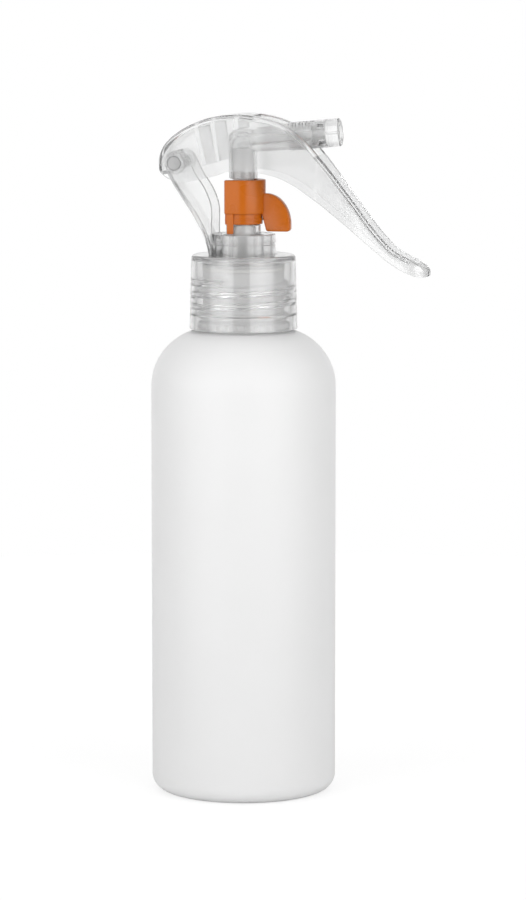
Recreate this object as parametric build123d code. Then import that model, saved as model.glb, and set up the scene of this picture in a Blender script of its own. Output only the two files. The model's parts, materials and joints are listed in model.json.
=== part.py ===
"""Trigger spray bottle: a 200 ml round bottle with a 24/410 neck and a lever-operated pump.

Row frame, millimetres: origin at the centre of the bottle's base, +Z up, +X the way it sprays.
Every separate moulding, wire or ball is written as its own STEP file in parts/.
"""

from build123d import *
import math
import os

# ---------------------------------------------------------------- bottle
BODY_R = 24.5            # outside radius of the bottle
BODY_WALL = 1.0
BASE_CORNER_R = 4.3      # corner between the side and the base
BASE_RING_R = 15.0       # inner edge of the flat ring that the bottle stands on
BASE_PUSH_UP = 2.2       # height of the hollow in the base
SHOULDER_Z = 108.4       # where the straight side ends
SHOULDER_R = 15.5
NECK_R = 10.75           # neck outside, under the thread
NECK_BORE_R = 9.0
LIP_Z = 139.4

# ---------------------------------------------------------------- thread, 24/410 finish
PITCH = 3.175
NECK_THREAD_R = 11.95
NECK_THREAD_TURNS = 1.5
NECK_THREAD_Z = 132.5    # centre of the thread at its lower end
CAP_THREAD_R = 11.2
CAP_THREAD_TURNS = 1.75
CAP_THREAD_START = 180   # degrees round from +X to the cap thread's lower end
THREAD_DROP = 1.24       # the cap's thread lies this far under the neck's
THREAD_SINK = 0.15       # how far a thread's root reaches into its wall

# ---------------------------------------------------------------- screw closure
CAP_Z = 123.8
CAP_TOP_Z = 143.5
CAP_BOTTOM_R = 14.33
CAP_TOP_R = 14.05
CAP_INNER_R = 12.45
CAP_RELIEF_R = 12.95     # wider mouth below the thread
CAP_RELIEF_Z = 127.5
CAP_ROOF_Z = 142.1       # underside of the closure's top
CAP_HOLE_R = 8.9
CAP_EDGE_R = 0.8

# ---------------------------------------------------------------- flanges under the closure
FLANGE_R = 10.9
GASKET_Z = LIP_Z
CYL_FLANGE_Z = 140.2
BRACKET_FLANGE_Z = 141.0
BRACKET_FLANGE_TOP = 142.0

# ---------------------------------------------------------------- pump bracket
TURRET_R = 8.5
TURRET_BORE_R = 7.3
TURRET_TOP = 149.0
ARM_HALF_Y = 5.0
ARM_WALL = 1.2
PIVOT_X = -17.0
PIVOT_Z = 167.7
PIN_R = 1.85
PIN_HALF_Y = 7.6
BOSS_R = 2.8
ARM_END_R = 3.3          # round upper end of the arm
BOSS_HALF_Y = 6.25

# ---------------------------------------------------------------- lever
LEVER_HALF_Y = 7.7       # half width over the pump
LEVER_TIP_HALF_Y = 4.8   # half width of the finger end
LEVER_WALL = 1.2
LEVER_WEB = 1.1
LEVER_HOLE_R = 1.93
LEVER_REAR_R = 4.6       # round rear end, about the pin
LEVER_TOP = [(-18.2, 174.2), (-11.6, 178.3), (-3.0, 180.5), (4.4, 180.3), (11.2, 178.4),
             (16.6, 174.9), (21.0, 170.2)]              # (x, z) along the crown
LEVER_SLOPE_END = (37.6, 148.9)                         # lower end of the straight front
LEVER_TOE = [(41.3, 145.3), (45.6, 143.1), (49.4, 141.0)]
LEVER_UNDER = [(44.4, 140.2), (38.3, 143.8), (27.6, 152.5), (17.4, 160.6), (10.6, 164.3),
               (3.6, 165.7), (-3.4, 165.4), (-9.4, 163.5)]
SLOT_HALF_Y = 4.6        # slot in the web that the spout comes through
PUSH_RIB_X = -0.5
PUSH_RIB_R = 1.0

# ---------------------------------------------------------------- spout and nozzle
SOCKET_R = 3.75
SOCKET_Z = 163.5         # lower end of the spout
SPOUT_TOP = 176.5        # flat that the lever pushes on
SPOUT_TILT = 5.5         # degrees that the spout points up
SPOUT_AXIS_Z = 173.5     # height of the spout's axis over the stem
TUBE_R0 = 3.15
TUBE_R1 = 3.5
TUBE_END = 12.8          # along the spout's axis, where the nozzle starts
SPIGOT_R = 3.0
SPIGOT_END = 22.6
TUBE_BORE_R = 1.1
NOZZLE_R = 3.7
NOZZLE_END = 26.3
NOZZLE_BORE_R = 3.04
ORIFICE_R = 0.25
INSERT_R = 1.6
FLUTES = 6

# ---------------------------------------------------------------- lock clip
CLIP_R = 5.9
CLIP_SKIRT_R = 5.1
CLIP_BORE_R = 4.0
CLIP_MOUTH = 3.9         # half width of the opening at the back
CLIP_Z = 151.6
CLIP_STEP_Z = 154.4
CLIP_TOP = 163.3
CLIP_REAR_X = -3.9        # where its two legs end
CLIP_TAB_HALF_Y = 1.3

# ---------------------------------------------------------------- stem and piston
STEM_R = 2.75
STEM_BORE_R = 1.6
STEM_TOP = 171.5
STEM_BOTTOM = 126.0
ROD_R = 1.55
ROD_BORE_R = 0.8
ROD_HEAD_R = 2.5
ROD_BOTTOM = 118.7
PISTON_BOTTOM = 119.55
PISTON_TOP = 125.9
BORE_R = 3.6             # pump bore
PISTON_GAP = 0.05
BALL_OUT_R = 1.5
VALVE_NECK_R = 1.2
VALVE_CHAMBER_R = 1.75

# ---------------------------------------------------------------- stem guide
GUIDE_BORE_R = 2.83
GUIDE_BOSS_R = 5.4
GUIDE_NOSE_R = 4.6
GUIDE_TOP = 151.4
GUIDE_DISC_R = 7.2
GUIDE_PLUG_R = 6.5
GUIDE_PLUG_Z = 138.0
SEAL_Z = 138.6

# ---------------------------------------------------------------- pump cylinder
CYL_UPPER_R = 7.8
CYL_UPPER_BORE_R = 6.6
CYL_STEP_Z = 126.4
BARREL_R = 4.9
BARREL_FLOOR_Z = 106.0
VALVE_SEAT_Z = 102.6
BALL_IN_R = 1.6
SEAT_HOLE_R = 1.25
BALL_WELL_R = 2.0
TUBE_SOCKET_R = 3.1
TUBE_SOCKET_Z = 92.0
CAGE_TOP = 107.0

# ---------------------------------------------------------------- spring and dip tube
WIRE_R = 0.275
SPRING_MEAN_R = 2.7
SPRING_TURNS = 8
DIP_R = 1.95
DIP_BORE_R = 1.25
DIP_TOP = 100.6
DIP_BOTTOM = 6.0


def ring(outer, inner, low, high):
    """A plain tube about the Z axis."""
    height = high - low
    return Pos(0, 0, (low + high) / 2) * (Cylinder(outer, height) - Cylinder(inner, height))


def rod(radius, low, high):
    """A plain cylinder about the Z axis."""
    return Pos(0, 0, (low + high) / 2) * Cylinder(radius, high - low)


def lathe(points):
    """A solid turned about Z from a closed outline of (radius, height) points."""
    return revolve(Plane.XZ * make_face(Polyline(*points, close=True)), Axis.Z)


def side_face(*edges):
    """A face in the XZ plane from edges drawn in (x, z)."""
    return Plane.XZ * make_face(edges)


def slab(face, half_y):
    """A face in the XZ plane carried half_y to each side."""
    return extrude(face, amount=half_y, both=True)


def thread(wall_r, crest_r, root_half, crest_half, low_z, turns):
    """A helical ridge between a wall and a crest radius, its centre at low_z where it starts at +X."""
    sink = THREAD_SINK if crest_r > wall_r else -THREAD_SINK
    path = Pos(0, 0, low_z) * Helix(PITCH, PITCH * turns, wall_r)
    section = Plane.XZ * make_face(Polyline(
        (wall_r - sink, low_z - root_half), (crest_r, low_z - crest_half),
        (crest_r, low_z + crest_half), (wall_r - sink, low_z + root_half), close=True))
    return sweep(section, path=path, is_frenet=True)


def spout_axis(distance):
    """A location on the spout's axis, its Z along the way the spout points."""
    tilt = math.radians(SPOUT_TILT)
    place = (distance * math.cos(tilt), 0, SPOUT_AXIS_Z + distance * math.sin(tilt))
    return Location(Plane(origin=place, x_dir=(0, 1, 0),
                          z_dir=(math.cos(tilt), 0, math.sin(tilt))))


def along_spout(start, end, radius, end_radius=None):
    """A round bar or cone on the spout's axis, from start to end."""
    length = end - start
    last = radius if end_radius is None else end_radius
    solid = Cylinder(radius, length) if last == radius else Cone(radius, last, length)
    return spout_axis((start + end) / 2) * solid


# ================================================================ bottle and closure
def bottle():
    """Blow-moulded bottle: one turned wall, a neck thread, a bead and a ring of ratchet teeth."""
    centre_r = BODY_R - SHOULDER_R
    root_z = SHOULDER_Z + math.sqrt(SHOULDER_R**2 - (NECK_R - centre_r)**2)
    inner_r = BODY_R - BODY_WALL
    inner_shoulder_r = SHOULDER_R - BODY_WALL
    corner_in = BASE_CORNER_R - BODY_WALL

    def on_arc(cx, cz, radius, degrees):
        angle = math.radians(degrees)
        return cx + radius * math.cos(angle), cz + radius * math.sin(angle)

    flat_r = BODY_R - BASE_CORNER_R
    root_angle = math.degrees(math.acos((NECK_R - centre_r) / SHOULDER_R))
    dome_r = (BASE_RING_R**2 + BASE_PUSH_UP**2) / (2 * BASE_PUSH_UP)
    mid_r = BASE_RING_R / 2
    mid_z = BASE_PUSH_UP - dome_r + math.sqrt(dome_r**2 - mid_r**2)
    wall = side_face(
        ThreePointArc((0, BASE_PUSH_UP), (mid_r, mid_z), (BASE_RING_R, 0)),
        Line((BASE_RING_R, 0), (flat_r, 0)),
        ThreePointArc((flat_r, 0), on_arc(flat_r, BASE_CORNER_R, BASE_CORNER_R, -45),
                      (BODY_R, BASE_CORNER_R)),
        Line((BODY_R, BASE_CORNER_R), (BODY_R, SHOULDER_Z)),
        ThreePointArc((BODY_R, SHOULDER_Z), on_arc(centre_r, SHOULDER_Z, SHOULDER_R, root_angle / 2),
                      (NECK_R, root_z)),
        Line((NECK_R, root_z), (NECK_R, LIP_Z)),
        Line((NECK_R, LIP_Z), (NECK_BORE_R, LIP_Z)),
        Line((NECK_BORE_R, LIP_Z), (NECK_BORE_R, SHOULDER_Z + inner_shoulder_r)),
        ThreePointArc((NECK_BORE_R, SHOULDER_Z + inner_shoulder_r),
                      on_arc(centre_r, SHOULDER_Z, inner_shoulder_r, 45), (inner_r, SHOULDER_Z)),
        Line((inner_r, SHOULDER_Z), (inner_r, BASE_CORNER_R)),
        ThreePointArc((inner_r, BASE_CORNER_R), on_arc(flat_r, BASE_CORNER_R, corner_in, -45),
                      (flat_r, BODY_WALL)),
        Line((flat_r, BODY_WALL), (BASE_RING_R, BODY_WALL)),
        ThreePointArc((BASE_RING_R, BODY_WALL), (mid_r, BODY_WALL + mid_z), (0, BODY_WALL + BASE_PUSH_UP)),
        Line((0, BODY_WALL + BASE_PUSH_UP), (0, BASE_PUSH_UP)),
    )
    body = revolve(wall, Axis.Z)
    bead_low, bead_high, bead_r = 126.7, 128.1, 11.9
    body += lathe([(NECK_R - 0.3, bead_low - 0.5), (bead_r, bead_low + 0.2), (bead_r, bead_high - 0.4),
                   (NECK_R - 0.3, bead_high + 0.3)])
    body += thread(NECK_R, NECK_THREAD_R, 1.05, 0.45, NECK_THREAD_Z, NECK_THREAD_TURNS)
    return body + ratchet_ring(root_z)


def ratchet_ring(root_z):
    """Thirty low teeth round the root of the neck, on a thin ring."""
    teeth, tooth_r, root_r = 30, 12.5, NECK_R - 0.3
    low, high = root_z - 0.6, root_z + 1.9
    made = lathe([(root_r, low), (tooth_r - 0.9, low), (tooth_r - 0.9, high - 0.5), (root_r, high)])
    tooth = extrude(Plane.XY.offset(low) * make_face(Polyline(
        (tooth_r - 1.3, -0.75), (tooth_r, 0.55), (tooth_r - 1.3, 0.75), close=True)), 2.0)
    for k in range(teeth):
        made += Rot(0, 0, k * 360 / teeth) * tooth
    return made


def screw_closure():
    """Clear closure: a drafted skirt, a top with a round hole, and an internal thread."""
    shell = lathe([
        (CAP_BOTTOM_R, CAP_Z), (CAP_TOP_R, CAP_TOP_Z), (CAP_HOLE_R, CAP_TOP_Z),
        (CAP_HOLE_R, CAP_ROOF_Z), (CAP_INNER_R, CAP_ROOF_Z), (CAP_INNER_R, CAP_RELIEF_Z + 0.5),
        (CAP_RELIEF_R, CAP_RELIEF_Z), (CAP_RELIEF_R, CAP_Z)])
    rim = shell.edges().filter_by(GeomType.CIRCLE).group_by(Axis.Z)[-1].sort_by(SortBy.RADIUS)[-1]
    shell = fillet(rim, CAP_EDGE_R)
    start_z = NECK_THREAD_Z - THREAD_DROP - PITCH * (1 - CAP_THREAD_START / 360)
    ridge = thread(CAP_INNER_R, CAP_THREAD_R, 0.85, 0.35, start_z, CAP_THREAD_TURNS)
    return shell + Rot(0, 0, CAP_THREAD_START) * ridge


def neck_gasket():
    """Flat washer on the lip of the neck."""
    return ring(FLANGE_R, 8.1, GASKET_Z, CYL_FLANGE_Z)


# ================================================================ bracket and lever
def arm_face(inset=0.0):
    """Side outline of the bracket's arm, from the turret up and back to the pivot."""
    angle = math.radians(205)
    rear = (PIVOT_X + ARM_END_R * math.cos(angle), PIVOT_Z + ARM_END_R * math.sin(angle))
    front_angle = math.radians(20)
    front = (PIVOT_X + ARM_END_R * math.cos(front_angle), PIVOT_Z + ARM_END_R * math.sin(front_angle))
    foot_rear, foot_front = (-8.1 + inset, 142.6), (-7.45, 142.6)
    return side_face(
        Spline(foot_rear, (-9.5 + inset, 147.8), (-12.3 + inset, 153.2), (-16.0 + inset, 158.8), rear),
        ThreePointArc(rear, (PIVOT_X, PIVOT_Z + ARM_END_R), front),
        Spline(front, (-11.2, 163.9), (-9.2, 160.7), (-7.75, 157.0), (-7.5, 150.0)),
        Line((-7.5, 150.0), foot_front),
        Line(foot_front, foot_rear),
    )


def pump_bracket():
    """Clear bracket: flange, turret ring, and the arm that carries the lever's pivot."""
    arm = slab(arm_face(), ARM_HALF_Y)
    hollow = slab(arm_face(inset=ARM_WALL), ARM_HALF_Y - ARM_WALL) & Pos(-5, 0, 156.8) * Box(30, 20, 12.4)
    hollow += Pos(-6.0, 0, 156.8) * Box(5.0, 2 * (ARM_HALF_Y - ARM_WALL), 12.4)
    boss = Pos(PIVOT_X, 0, PIVOT_Z) * Rot(90, 0, 0) * Cylinder(BOSS_R, 2 * BOSS_HALF_Y)
    turret = ring(TURRET_R, TURRET_BORE_R, BRACKET_FLANGE_Z, TURRET_TOP)
    turret += ring(FLANGE_R, TURRET_BORE_R, BRACKET_FLANGE_Z, BRACKET_FLANGE_TOP)
    groove = ring(TURRET_R + 1, TURRET_R - 0.25, 146.2, 146.7)
    made = (arm - hollow) + boss + turret - groove
    made -= rod(TURRET_BORE_R, BRACKET_FLANGE_Z - 1, TURRET_TOP + 8)
    made -= ring(12.0, CAP_HOLE_R - 0.25, BRACKET_FLANGE_TOP, CAP_TOP_Z + 0.2)
    return made - Pos(PIVOT_X, 0, PIVOT_Z) * Rot(90, 0, 0) * Cylinder(PIN_R + 0.02, 30)


def pivot_pin():
    """The pin that the lever turns on."""
    return Pos(PIVOT_X, 0, PIVOT_Z) * Rot(90, 0, 0) * Cylinder(PIN_R, 2 * PIN_HALF_Y)


def lever_face(drop=0.0, deep=False):
    """Side outline of the lever; drop lowers its top line, deep carries its underside well below."""
    radius = LEVER_REAR_R - drop
    rear_top = math.radians(140)
    start = (PIVOT_X + radius * math.cos(rear_top) * 1.02, PIVOT_Z + radius * math.sin(rear_top))
    low = (PIVOT_X, PIVOT_Z - radius)
    slope = math.atan2(LEVER_TOP[-1][1] - LEVER_SLOPE_END[1], LEVER_SLOPE_END[0] - LEVER_TOP[-1][0])

    def lowered(point, lean):
        return point[0] - drop * math.sin(lean), point[1] - drop * math.cos(lean)

    leans = [-0.66, -0.45, -0.14, 0.16, 0.45, 0.69, slope]
    top = [lowered(p, a) for p, a in zip(LEVER_TOP, leans)]
    slope_end = lowered(LEVER_SLOPE_END, slope)
    toe = [lowered(p, a) for p, a in zip(LEVER_TOE, (0.66, 0.49, 0.55))]
    down = (math.cos(slope), -math.sin(slope))
    edges = [
        ThreePointArc(low, (PIVOT_X - radius, PIVOT_Z), start),
        Spline(start, *top, tangents=[(math.cos(rear_top) + 1.1, math.sin(rear_top)), down]),
        Line(top[-1], slope_end),
        Spline(slope_end, *toe, tangents=[down, (0.83, -0.56)]),
    ]
    if deep:
        below = 120.0
        edges += [Line(toe[-1], (toe[-1][0], below)), Line((toe[-1][0], below), (low[0], below)),
                  Line((low[0], below), low)]
    else:
        heel = (49.0, 138.9)
        edges += [ThreePointArc(toe[-1], (50.3, 139.8), heel),
                  Spline(heel, *LEVER_UNDER, low, tangents=[(-1, 0.03), (-1, 0)])]
    return side_face(*edges)


def lever_plan(inset=0.0):
    """Plan outline of the lever, wide over the pump and narrow at the finger end."""
    wide, narrow = LEVER_HALF_Y - inset, LEVER_TIP_HALF_Y - inset
    rear, tip = PIVOT_X - LEVER_REAR_R - 0.1 + inset, 50.4 - inset
    corner = 2.6 - inset
    side = [Spline((rear + corner, wide), (12.0, wide - 0.12), (27.0, narrow + 0.12),
                   (tip - narrow, narrow), tangents=[(1, 0), (1, 0)])]
    side += [ThreePointArc((tip - narrow, narrow), (tip, 0), (tip - narrow, -narrow))]
    side += [Spline((tip - narrow, -narrow), (27.0, -narrow - 0.12), (12.0, 0.12 - wide),
                    (rear + corner, -wide), tangents=[(-1, 0), (-1, 0)])]
    bow = corner * (1 - math.sqrt(0.5))
    side += [ThreePointArc((rear + corner, -wide), (rear + bow, bow - wide), (rear, corner - wide)),
             Line((rear, corner - wide), (rear, wide - corner)),
             ThreePointArc((rear, wide - corner), (rear + bow, wide - bow), (rear + corner, wide))]
    return extrude(Plane.XY.offset(110) * make_face(side), 90)


def lever_ribs():
    """Two cross ribs behind the stem, the rib that pushes the spout, and the bosses round the pin."""
    ribs = side_face(Polyline((-11.9, 178.3), (-10.9, 178.6), (-8.4, 167.4), (-9.4, 167.2), close=True))
    ribs += side_face(Polyline((-7.4, 179.6), (-6.4, 179.8), (-4.8, 168.5), (-5.8, 168.3), close=True))
    ledge_x = -0.8 - SOCKET_R
    ribs += side_face(Polyline((-4.9, 169.3), (ledge_x, 169.5), (ledge_x, 168.7), (-4.9, 168.5), close=True))
    push_z = SPOUT_TOP + 0.1 + PUSH_RIB_R
    ribs += Plane.XZ * Pos(PUSH_RIB_X, push_z) * Circle(PUSH_RIB_R)
    ribs += side_face(Polyline((PUSH_RIB_X - 0.6, push_z), (PUSH_RIB_X + 0.6, push_z),
                               (PUSH_RIB_X + 0.6, 179.9), (PUSH_RIB_X - 0.6, 179.9), close=True))
    return slab(ribs, LEVER_HALF_Y - LEVER_WALL + 0.2)


def trigger_lever():
    """Clear lever: an upside-down channel with a slot for the spout and ribs inside."""
    outside = slab(lever_face(), LEVER_HALF_Y + 1) & lever_plan()
    inside = slab(lever_face(drop=LEVER_WEB, deep=True), LEVER_HALF_Y + 1) & lever_plan(inset=LEVER_WALL)
    lever = (outside - inside) + (lever_ribs() & outside)
    slot = side_face(Polyline((3.6, 184), (3.6, 176.0), (14.0, 169.6), (20.4, 169.6), (24.5, 172.0),
                              (24.5, 184), close=True))
    lever -= slab(slot, SLOT_HALF_Y)
    lever -= Pos(PIVOT_X, 0, 158.0) * Box(14, 2 * (LEVER_HALF_Y - LEVER_WALL), 17.0)
    hole = Pos(PIVOT_X, 0, PIVOT_Z) * Rot(90, 0, 0) * Cylinder(LEVER_HOLE_R, 40)
    return lever - hole


# ================================================================ spout, nozzle, clip
def spout():
    """Clear elbow: a socket on the stem, a flat that the lever pushes, and the tube to the nozzle."""
    elbow = rod(SOCKET_R, SOCKET_Z, SPOUT_AXIS_Z + 0.6)
    head = side_face(Polyline((-SOCKET_R, 172.0), (-SOCKET_R, 175.0), (-2.4, SPOUT_TOP), (3.4, SPOUT_TOP),
                              (5.0, 175.2), (5.0, 172.0), close=True))
    elbow += slab(head, 2.9)
    elbow += along_spout(0, TUBE_END, TUBE_R0, TUBE_R1)
    elbow += along_spout(TUBE_END - 1, SPIGOT_END, SPIGOT_R)
    elbow -= Pos(-1.0, 0, SPOUT_TOP + 5) * Box(10, 20, 10)
    elbow -= rod(STEM_R + 0.02, SOCKET_Z - 1, STEM_TOP)
    elbow -= rod(VALVE_CHAMBER_R, STEM_TOP - 0.1, STEM_TOP + 3.5)
    elbow -= along_spout(0.8, SPIGOT_END - 3.8, TUBE_BORE_R)
    return elbow - along_spout(SPIGOT_END - 4.0, SPIGOT_END + 1, INSERT_R + 0.65)


def swirl_insert():
    """Fluted plug that spins the liquid before the orifice."""
    start, end = SPIGOT_END - 3.6, SPIGOT_END + 0.1
    plug = along_spout(start, end, INSERT_R)
    flute = Box(0.7, 2 * (INSERT_R + 0.6), end - start)
    for k in range(FLUTES // 2):
        plug += spout_axis((start + end) / 2) * Rot(0, 0, k * 360 / FLUTES) * flute
    return plug & along_spout(start - 1, end + 1, INSERT_R + 0.6)


def nozzle_cap():
    """Clear nozzle: a sleeve over the spout's spigot, a front wall and a dished face with the orifice."""
    cap = along_spout(TUBE_END + 0.05, NOZZLE_END, NOZZLE_R)
    front = [e for e in cap.edges().filter_by(GeomType.CIRCLE) if e.center().X > 20]
    cap = fillet(front, 0.45)
    cap -= along_spout(TUBE_END - 1, SPIGOT_END + 0.2, NOZZLE_BORE_R)
    cap -= along_spout(NOZZLE_END - 1.5, NOZZLE_END + 0.01, 1.3, 2.5)
    return cap - along_spout(SPIGOT_END, NOZZLE_END, ORIFICE_R)


def horseshoe(radius, low, high):
    """A round collar whose two ends run straight back, open behind."""
    height, middle = high - low, (low + high) / 2
    outside = Pos(0, 0, middle) * Cylinder(radius, height)
    outside += Pos(CLIP_REAR_X / 2, 0, middle) * Box(-CLIP_REAR_X, 2 * radius, height)
    front = Pos(CLIP_REAR_X + 10, 0, middle) * Box(20, 20, height)
    return (outside & front) - Pos(0, 0, middle) * Cylinder(CLIP_BORE_R, height)


def lock_clip():
    """Orange clip: a U-shaped collar, a narrower skirt with two feet, and a round thumb tab."""
    clip = horseshoe(CLIP_R, CLIP_STEP_Z, CLIP_TOP)
    clip += horseshoe(CLIP_SKIRT_R, CLIP_Z, CLIP_STEP_Z + 0.1)
    foot_z, foot_top = TURRET_TOP + 0.15, CLIP_STEP_Z + 1
    for side in (-1, 1):
        clip += Pos(-2.35, side * 5.15, (foot_z + foot_top) / 2) * Box(1.7, 0.7, foot_top - foot_z)
    tab = side_face(
        Line((CLIP_BORE_R + 1.2, 155.0), (CLIP_BORE_R + 1.2, 159.7)),
        Line((CLIP_BORE_R + 1.2, 159.7), (6.2, 159.7)),
        EllipticalCenterArc((6.2, 151.6), 6.6, 8.1, start_angle=0, arc_size=90),
        Line((12.8, 151.6), (12.8, 150.6)),
        ThreePointArc((12.8, 150.6), (12.54, 149.96), (11.9, 149.7)),
        Line((11.9, 149.7), (7.0, 149.7)),
        ThreePointArc((7.0, 149.7), (6.43, 149.93), (6.2, 150.5)),
        Line((6.2, 150.5), (6.2, 155.0)),
        Line((6.2, 155.0), (CLIP_BORE_R + 1.2, 155.0)),
    )
    clip += slab(tab, CLIP_TAB_HALF_Y)
    return clip - Pos(-5, 0, 156) * Box(10, 2 * CLIP_MOUTH, 20)


# ================================================================ pump
def upper_stem():
    """Hollow stem from the piston up into the spout, necked at the top as the outlet valve's seat."""
    stem = ring(STEM_R, STEM_BORE_R, STEM_BOTTOM, STEM_TOP)
    return stem + ring(STEM_R - 0.5, VALVE_NECK_R, STEM_TOP - 2.0, STEM_TOP)


def valve_rod():
    """Rod through the piston: a head below it, a bore above it, and a cross port between."""
    made = rod(ROD_R, ROD_BOTTOM, STEM_BOTTOM + 7)
    made += rod(ROD_HEAD_R, ROD_BOTTOM, PISTON_BOTTOM - 0.1)
    made -= rod(ROD_BORE_R, PISTON_BOTTOM + 1.2, STEM_BOTTOM + 8)
    return made - Pos(0, 0, PISTON_BOTTOM + 1.9) * Rot(90, 0, 0) * Cylinder(0.4, 8)


def piston():
    """Soft piston with an upper and a lower lip."""
    lip_r = BORE_R - PISTON_GAP
    hub_r, bore_r = 2.6, ROD_R + 0.05
    return lathe([(bore_r, PISTON_BOTTOM), (hub_r - 0.3, PISTON_BOTTOM), (hub_r - 0.3, PISTON_BOTTOM + 1.6),
                  (lip_r - 0.5, PISTON_BOTTOM + 0.2), (lip_r, PISTON_BOTTOM + 0.5),
                  (lip_r - 0.4, PISTON_BOTTOM + 2.4), (lip_r - 0.4, PISTON_TOP - 2.2),
                  (lip_r, PISTON_TOP - 0.5), (lip_r - 0.5, PISTON_TOP - 0.2), (hub_r, PISTON_TOP - 1.6),
                  (hub_r, PISTON_TOP), (bore_r, PISTON_TOP)])


def stem_guide():
    """Clear guide that closes the pump: a plug, a disc on the cylinder's flange and a nose for the stem."""
    guide = ring(GUIDE_PLUG_R, 5.3, GUIDE_PLUG_Z, 141.5)
    guide += ring(GUIDE_DISC_R, GUIDE_BORE_R, 141.05, 143.0)
    guide += ring(GUIDE_BOSS_R, GUIDE_BORE_R, 142.9, TURRET_TOP - 0.1)
    guide += ring(GUIDE_NOSE_R, GUIDE_BORE_R, TURRET_TOP - 0.2, GUIDE_TOP)
    return guide


def stem_seal():
    """Soft washer round the stem, under the guide."""
    return ring(5.2, STEM_R + 0.06, SEAL_Z, 141.0)


def pump_cylinder():
    """Pump body: flange, wide upper tube, barrel, valve seat and the socket for the dip tube."""
    body = rod(FLANGE_R, CYL_FLANGE_Z, BRACKET_FLANGE_Z)
    body += rod(CYL_UPPER_R, CYL_STEP_Z, CYL_FLANGE_Z + 0.1)
    body += rod(BARREL_R, VALVE_SEAT_Z - 1.8, CYL_STEP_Z + 0.1)
    body += rod(TUBE_SOCKET_R, TUBE_SOCKET_Z, VALVE_SEAT_Z - 1.7)
    body -= rod(CYL_UPPER_BORE_R, CYL_STEP_Z + 1.3, BRACKET_FLANGE_Z + 1)
    body -= rod(BORE_R, BARREL_FLOOR_Z, CYL_STEP_Z + 2)
    body -= rod(BALL_WELL_R, VALVE_SEAT_Z, BARREL_FLOOR_Z + 0.1)
    body -= rod(SEAT_HOLE_R, TUBE_SOCKET_Z, VALVE_SEAT_Z + 0.1)
    return body - rod(DIP_R + 0.03, TUBE_SOCKET_Z - 1, DIP_TOP + 0.05)


def ball_cage():
    """Slotted ring over the inlet ball; the spring stands on it."""
    cage = ring(BORE_R - 0.1, 1.0, BARREL_FLOOR_Z, CAGE_TOP)
    for k in range(2):
        cage -= Rot(0, 0, 90 * k) * Pos(0, 0, BARREL_FLOOR_Z + 0.5) * Box(4.4, 0.8, 2.0)
    return cage


def ball_on_seat(radius, hole_r, seat_z):
    """A valve ball resting on the edge of a hole."""
    lift = math.sqrt(radius**2 - hole_r**2)
    return Pos(0, 0, seat_z + lift + 0.02) * Sphere(radius)


def return_spring():
    """Wire spring between the cage and the valve rod's head."""
    low, high = CAGE_TOP + WIRE_R + 0.02, ROD_BOTTOM - WIRE_R - 0.02
    pitch = (high - low) / SPRING_TURNS
    path = Pos(0, 0, low) * Helix(pitch, high - low, SPRING_MEAN_R)
    section = Plane.XZ * Pos(SPRING_MEAN_R, low) * Circle(WIRE_R)
    return sweep(section, path=path, is_frenet=True)


def dip_tube():
    """Straight tube to the bottom of the bottle, cut on the slant at its lower end."""
    tube = ring(DIP_R, DIP_BORE_R, DIP_BOTTOM, DIP_TOP)
    slant = Pos(0, 0, DIP_BOTTOM) * Rot(0, 40, 0) * Pos(0, 0, -5) * Box(20, 20, 10)
    return tube - slant


PARTS = {
    "bottle": bottle,
    "screw_closure": screw_closure,
    "neck_gasket": neck_gasket,
    "pump_bracket": pump_bracket,
    "pivot_pin": pivot_pin,
    "trigger_lever": trigger_lever,
    "lock_clip": lock_clip,
    "spout": spout,
    "nozzle_cap": nozzle_cap,
    "swirl_insert": swirl_insert,
    "outlet_ball": lambda: ball_on_seat(BALL_OUT_R, VALVE_NECK_R, STEM_TOP),
    "upper_stem": upper_stem,
    "valve_rod": valve_rod,
    "piston": piston,
    "stem_seal": stem_seal,
    "stem_guide": stem_guide,
    "pump_cylinder": pump_cylinder,
    "return_spring": return_spring,
    "ball_cage": ball_cage,
    "inlet_ball": lambda: ball_on_seat(BALL_IN_R, SEAT_HOLE_R, VALVE_SEAT_Z),
    "dip_tube": dip_tube,
}


def main():
    """Builds every part and writes it to parts/."""
    os.makedirs("parts", exist_ok=True)
    for name, make in PARTS.items():
        shape = make()
        export_step(shape, f"parts/{name}.step")
        print(name, round(shape.volume, 1))


main()
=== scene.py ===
import json
import logging
import math
from dataclasses import dataclass
from enum import Enum

import bmesh
import bpy
import numpy as np
from mathutils import Matrix, Vector


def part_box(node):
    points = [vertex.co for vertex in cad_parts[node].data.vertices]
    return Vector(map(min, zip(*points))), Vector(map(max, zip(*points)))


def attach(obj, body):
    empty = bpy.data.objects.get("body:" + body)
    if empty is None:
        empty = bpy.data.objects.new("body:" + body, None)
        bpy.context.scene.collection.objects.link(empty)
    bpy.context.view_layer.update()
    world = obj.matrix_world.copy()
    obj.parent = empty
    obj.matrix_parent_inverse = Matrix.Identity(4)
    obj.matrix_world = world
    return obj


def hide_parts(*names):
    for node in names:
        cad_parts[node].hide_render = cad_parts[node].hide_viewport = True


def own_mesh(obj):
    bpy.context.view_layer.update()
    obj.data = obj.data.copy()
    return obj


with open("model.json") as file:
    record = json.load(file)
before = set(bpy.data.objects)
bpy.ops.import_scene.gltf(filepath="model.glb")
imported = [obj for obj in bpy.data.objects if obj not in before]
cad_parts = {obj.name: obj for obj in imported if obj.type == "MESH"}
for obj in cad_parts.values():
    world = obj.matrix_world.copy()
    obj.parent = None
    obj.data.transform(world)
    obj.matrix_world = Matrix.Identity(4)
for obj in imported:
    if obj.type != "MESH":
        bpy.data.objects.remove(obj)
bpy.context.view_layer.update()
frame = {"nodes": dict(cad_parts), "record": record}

MM = 0.001
X, Y, Z = range(3)
SHARP = 38.0
RIM_ANGLE = 50.0
RIM_STEPS = 3
MOULDING_GROUP = "moulded_surface"
Piece = bpy.types.Object
Point = tuple[float, float, float]
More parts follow.
